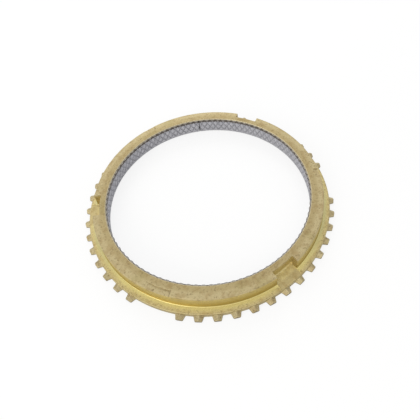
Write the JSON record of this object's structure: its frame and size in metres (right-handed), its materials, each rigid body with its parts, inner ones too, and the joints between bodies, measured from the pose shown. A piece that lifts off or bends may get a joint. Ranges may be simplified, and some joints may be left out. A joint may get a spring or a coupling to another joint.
{
  "type": "synchronizer ring",
  "caption": "Flat brass gearbox ring with pointed outer teeth in groups, key notches in its upper rim and a grey woven friction lining in its conical bore.",
  "frame": {"origin": "on the ring's axis, in the plane of the flat gear-side face that the ring lies on", "axes": "+Z along the ring's axis towards the hub side with the key notches; +X through the middle of one gap in the teeth"},
  "size_m": [0.1191, 0.12, 0.0093],
  "materials": {
    "brass": "as-forged matte brass with a turned hub wall",
    "lining": "dry woven fibre"
  },
  "bodies": {
    "root": {"ring_body": "brass", "friction_lining": "lining"}
  },
  "joints": []
}
